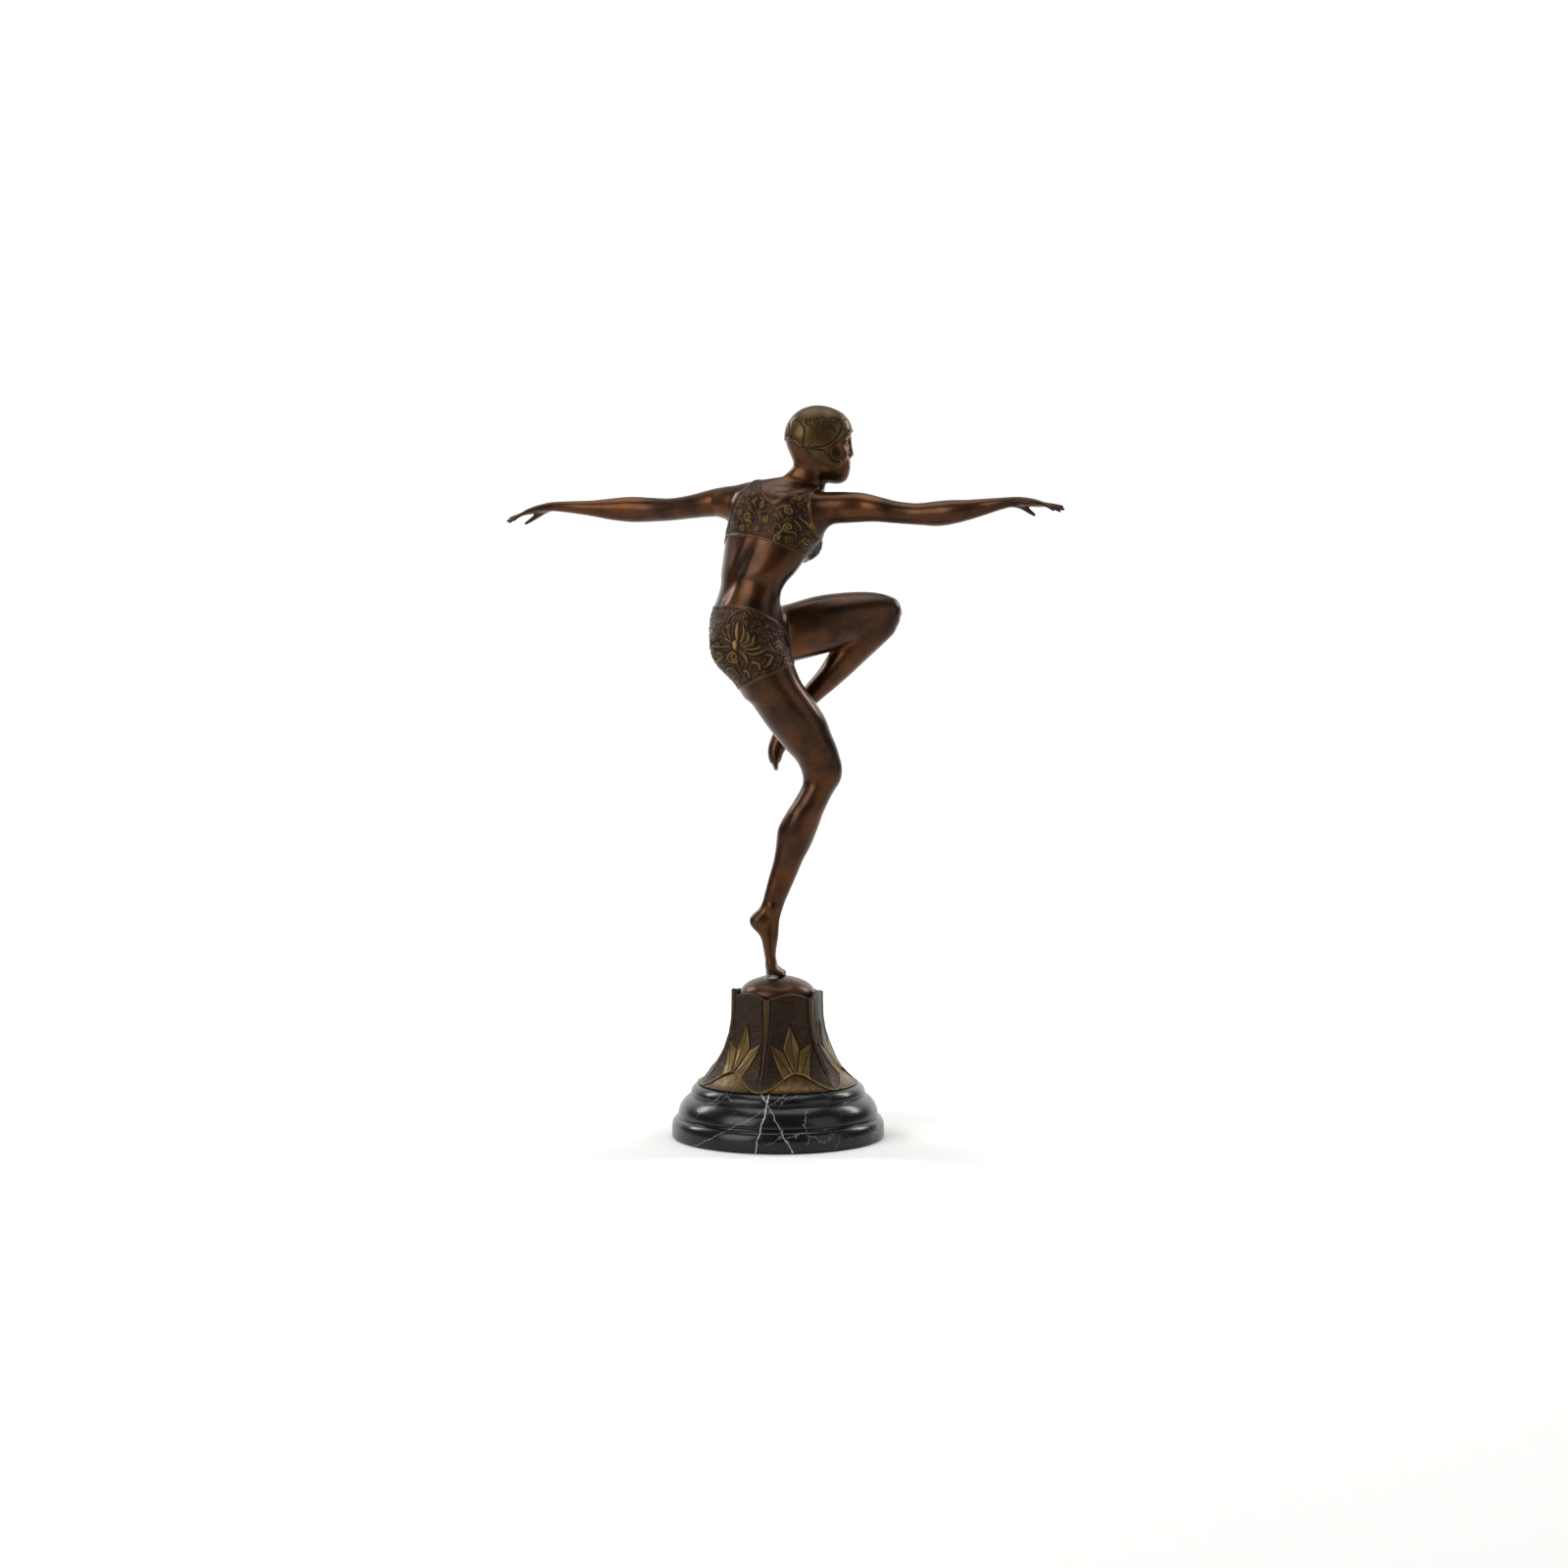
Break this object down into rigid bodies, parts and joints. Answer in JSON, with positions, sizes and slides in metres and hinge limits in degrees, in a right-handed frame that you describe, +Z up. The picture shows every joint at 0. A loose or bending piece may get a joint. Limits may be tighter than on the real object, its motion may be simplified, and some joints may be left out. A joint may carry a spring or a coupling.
{
  "type": "bronze statuette",
  "caption": "Patinated bronze dancer on tiptoe with arms outstretched, on a bell-shaped bronze base and a round stepped black marble plinth.",
  "frame": {"origin": "centre of the felt's underside, on the axis of the plinth and bell", "axes": "+Z up; +X the way the dancer's hips and head face, towards the right hand; +Y away from the viewer who sees the dancer in profile facing right, with the back turned to that viewer"},
  "size_m": [0.3582, 0.136, 0.4696],
  "materials": {
    "skin_bronze": "chestnut brown patina, waxed",
    "costume_bronze": "chased relief, dark olive patina rubbed back to gold on the ridges",
    "bell_bronze": "hatched and chased, dark brown patina with brass-coloured leaves",
    "dome_bronze": "smooth reddish brown patina",
    "raw_bronze": "as cast",
    "braze": "pale grey-green braze",
    "black_marble": "polished black marble with white veins",
    "steel": "zinc plated",
    "felt": "wool felt"
  },
  "bodies": {
    "root": {"felt_pad": "felt", "marble_plinth": "black_marble", "fixing_rod": "steel", "rod_washer": "steel", "rod_nut": "steel", "anchor_bar": "raw_bronze", "bell_skirt": "bell_bronze", "dome": "dome_bronze", "foot_stud": "steel", "foot_washer": "steel", "foot_nut": "steel", "foot_braze": "braze", "standing_leg": "skin_bronze", "raised_leg": "skin_bronze", "hips": "costume_bronze", "torso": "skin_bronze", "head": "skin_bronze", "left_arm": "skin_bronze", "right_arm": "skin_bronze", "waist_sleeve": "raw_bronze", "neck_pin": "steel", "left_shoulder_pin": "steel", "right_shoulder_pin": "steel", "left_hip_pin": "steel", "right_hip_pin": "steel"}
  },
  "joints": []
}
